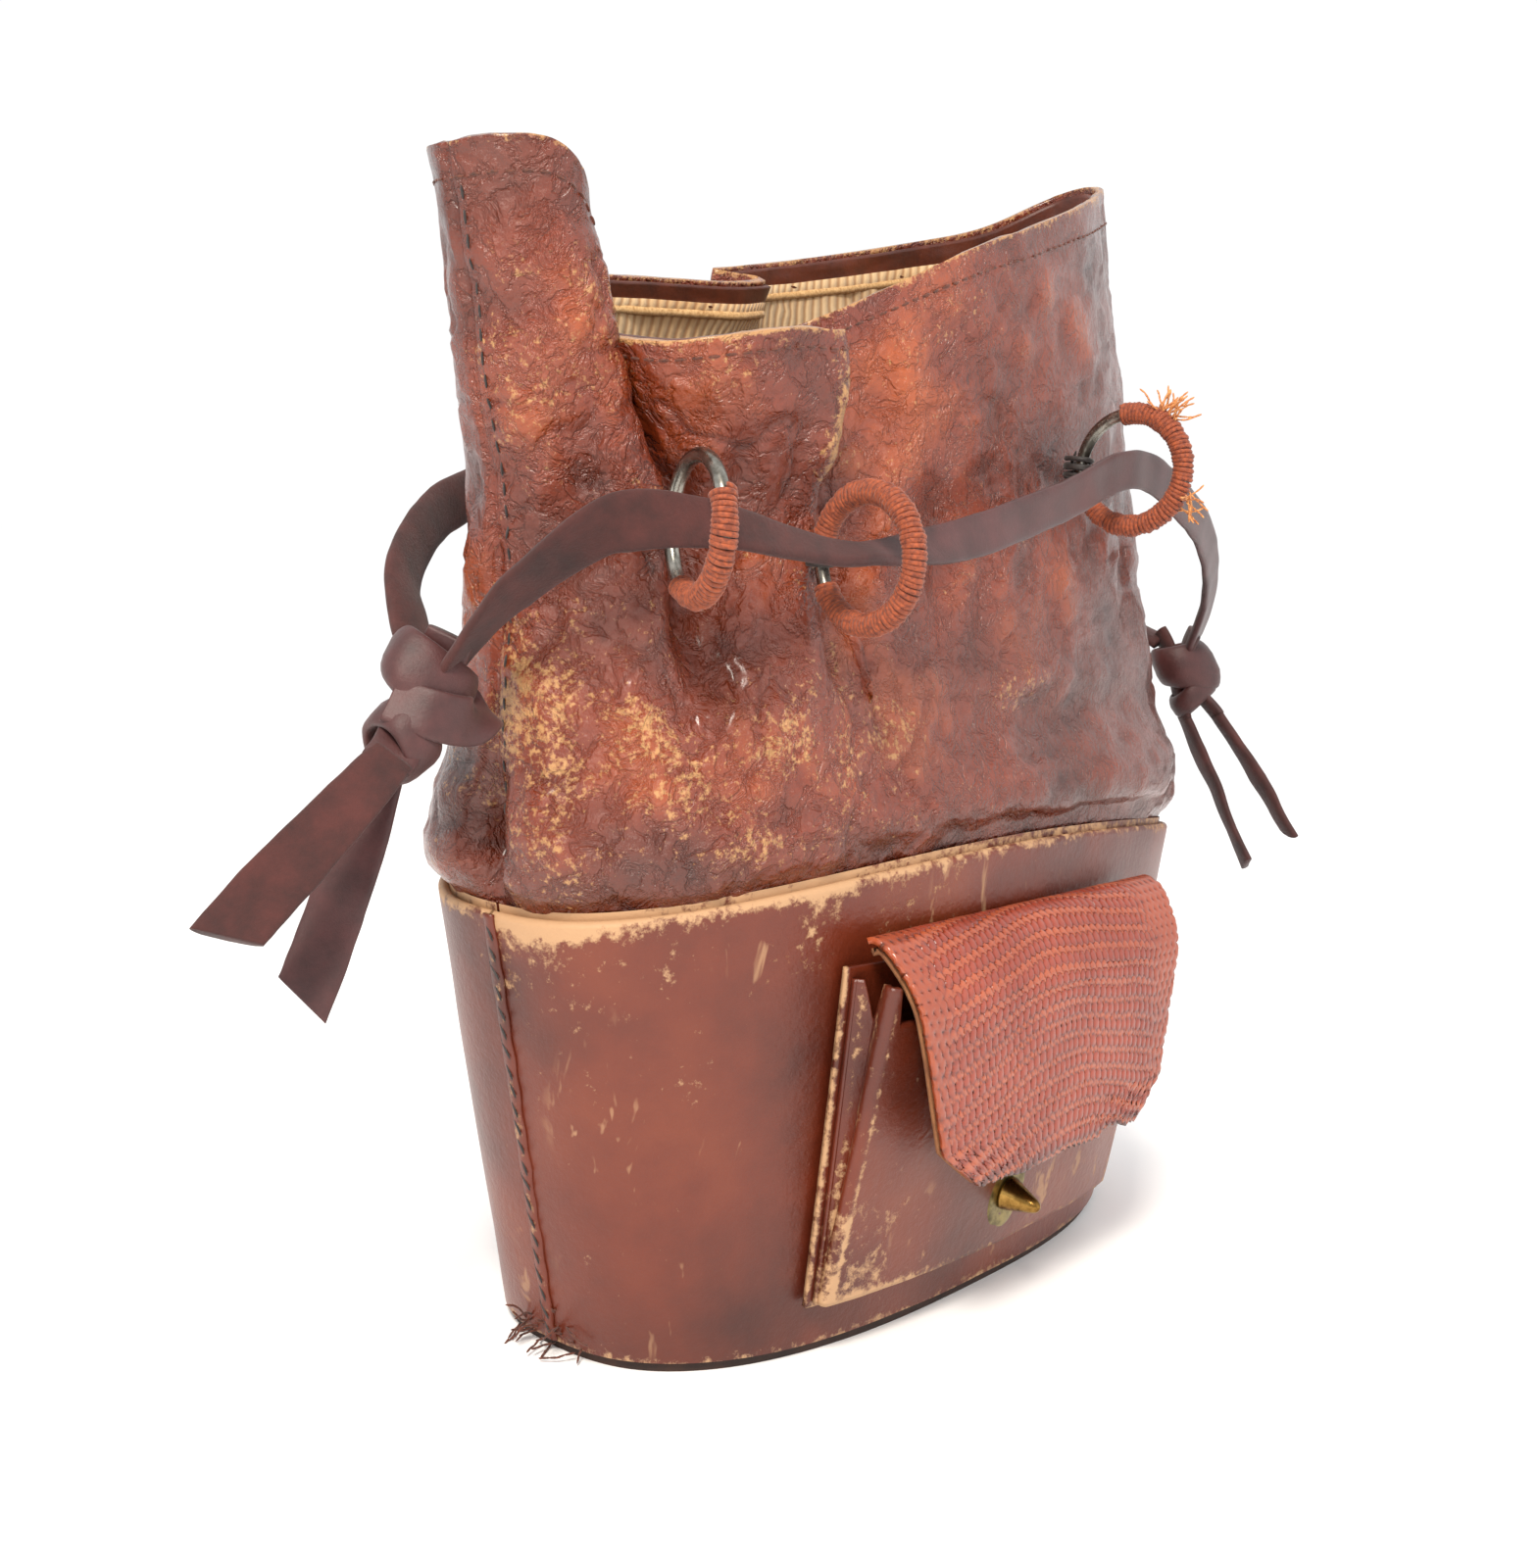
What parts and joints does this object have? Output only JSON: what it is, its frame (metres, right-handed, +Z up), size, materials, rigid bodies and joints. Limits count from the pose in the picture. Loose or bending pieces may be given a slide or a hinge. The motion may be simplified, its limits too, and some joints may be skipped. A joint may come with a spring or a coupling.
{
  "type": "drawstring bucket bag",
  "caption": "Leather bucket bag with a hard tapered oval base, soft gathered mouth drawn in by a laced thong, and a flapped front pocket.",
  "frame": {"origin": "centre of the sole's underside, on the surface the bag stands on", "axes": "+Z up, +X along the long side of the oval base, the pocket faces -Y"},
  "size_m": [0.2817, 0.1134, 0.228],
  "materials": {
    "smooth_leather": "smooth vegetable-tanned, worn",
    "soft_leather": "soft pebbled, glossy folds",
    "facing_leather": "smooth",
    "lining_cotton": "ribbed cotton",
    "grey_board": "plain",
    "sole_leather": "dark, rubbed",
    "lizard_leather": "embossed scales",
    "flesh_leather": "rough flesh side",
    "suede_lace": "suede, dark",
    "ring_steel": "dulled",
    "wrap_thread": "twisted thread",
    "tie_thread": "waxed thread",
    "aged_brass": "aged"
  },
  "bodies": {
    "bag": {"base_front_panel": "smooth_leather", "base_rear_panel": "smooth_leather", "pocket_back": "smooth_leather", "pocket_front": "smooth_leather", "pocket_gusset": "smooth_leather", "welt_left": "smooth_leather", "welt_right": "smooth_leather", "upper_front": "soft_leather", "upper_rear": "soft_leather", "upper_seam_left": "soft_leather", "upper_seam_right": "soft_leather", "rim_facing": "facing_leather", "lining_bag": "lining_cotton", "base_board": "grey_board", "bottom_board": "grey_board", "sole": "sole_leather", "front_thong": "suede_lace", "rear_thong": "suede_lace", "left_knot": "suede_lace", "right_knot": "suede_lace", "tie_front_left": "tie_thread", "tie_front_middle": "tie_thread", "tie_front_right": "tie_thread", "tie_rear_left": "tie_thread", "tie_rear_middle": "tie_thread", "tie_rear_right": "tie_thread", "stud_plate": "aged_brass", "stud": "aged_brass", "stud_washer": "aged_brass"},
    "flap": {"pocket_flap": "lizard_leather", "flap_lining": "flesh_leather"},
    "front_left_ring": {"ring_front_left": "ring_steel", "wrap_front_left": "wrap_thread"},
    "front_middle_ring": {"ring_front_middle": "ring_steel", "wrap_front_middle": "wrap_thread"},
    "front_right_ring": {"ring_front_right": "ring_steel", "wrap_front_right": "wrap_thread"},
    "rear_left_ring": {"ring_rear_left": "ring_steel", "wrap_rear_left": "wrap_thread"},
    "rear_middle_ring": {"ring_rear_middle": "ring_steel", "wrap_rear_middle": "wrap_thread"},
    "rear_right_ring": {"ring_rear_right": "ring_steel", "wrap_rear_right": "wrap_thread"},
    "left_tail_front": {"left_tail_front": "suede_lace"},
    "left_tail_rear": {"left_tail_rear": "suede_lace"},
    "right_tail_front": {"right_tail_front": "suede_lace"},
    "right_tail_rear": {"right_tail_rear": "suede_lace"}
  },
  "joints": [
    {"name": "flap_hinge", "type": "hinge", "parent": "bag", "child": "flap", "pos_m": [-0.003, -0.045, 0.0784], "axis": [-1, 0, 0], "range_deg": [0, 120]},
    {"name": "front_left_ring_swing", "type": "hinge", "parent": "bag", "child": "front_left_ring", "pos_m": [-0.08598, -0.02508, 0.15], "axis": [0, 0, 1], "range_deg": [-25, 25]},
    {"name": "front_middle_ring_swing", "type": "hinge", "parent": "bag", "child": "front_middle_ring", "pos_m": [-0.05753, -0.03368, 0.146], "axis": [0, 0, 1], "range_deg": [-25, 25]},
    {"name": "front_right_ring_swing", "type": "hinge", "parent": "bag", "child": "front_right_ring", "pos_m": [0.02417, -0.03456, 0.165], "axis": [0, 0, 1], "range_deg": [-25, 25]},
    {"name": "rear_left_ring_swing", "type": "hinge", "parent": "bag", "child": "rear_left_ring", "pos_m": [-0.03012, 0.03031, 0.16], "axis": [0, 0, 1], "range_deg": [-25, 25]},
    {"name": "rear_middle_ring_swing", "type": "hinge", "parent": "bag", "child": "rear_middle_ring", "pos_m": [0.03628, 0.02965, 0.158], "axis": [0, 0, 1], "range_deg": [-25, 25]},
    {"name": "rear_right_ring_swing", "type": "hinge", "parent": "bag", "child": "rear_right_ring", "pos_m": [0.07514, 0.02345, 0.152], "axis": [0, 0, 1], "range_deg": [-25, 25]},
    {"name": "left_tail_front_swing", "type": "hinge", "parent": "bag", "child": "left_tail_front", "pos_m": [-0.124, -0.0045, 0.1125], "axis": [-0.4456, 0.6696, 0.5942], "range_deg": [-20, 25]},
    {"name": "left_tail_rear_swing", "type": "hinge", "parent": "bag", "child": "left_tail_rear", "pos_m": [-0.119, 0.004, 0.1085], "axis": [-0.5846, 0.7652, 0.2698], "range_deg": [-20, 25]},
    {"name": "right_tail_front_swing", "type": "hinge", "parent": "bag", "child": "right_tail_front", "pos_m": [0.112, -0.0245, 0.1105], "axis": [-0.7674, -0.6278, 0.1303], "range_deg": [-10, 25]},
    {"name": "right_tail_rear_swing", "type": "hinge", "parent": "bag", "child": "right_tail_rear", "pos_m": [0.109, -0.017, 0.1095], "axis": [-0.769, -0.6291, 0.1135], "range_deg": [-20, 8]}
  ]
}
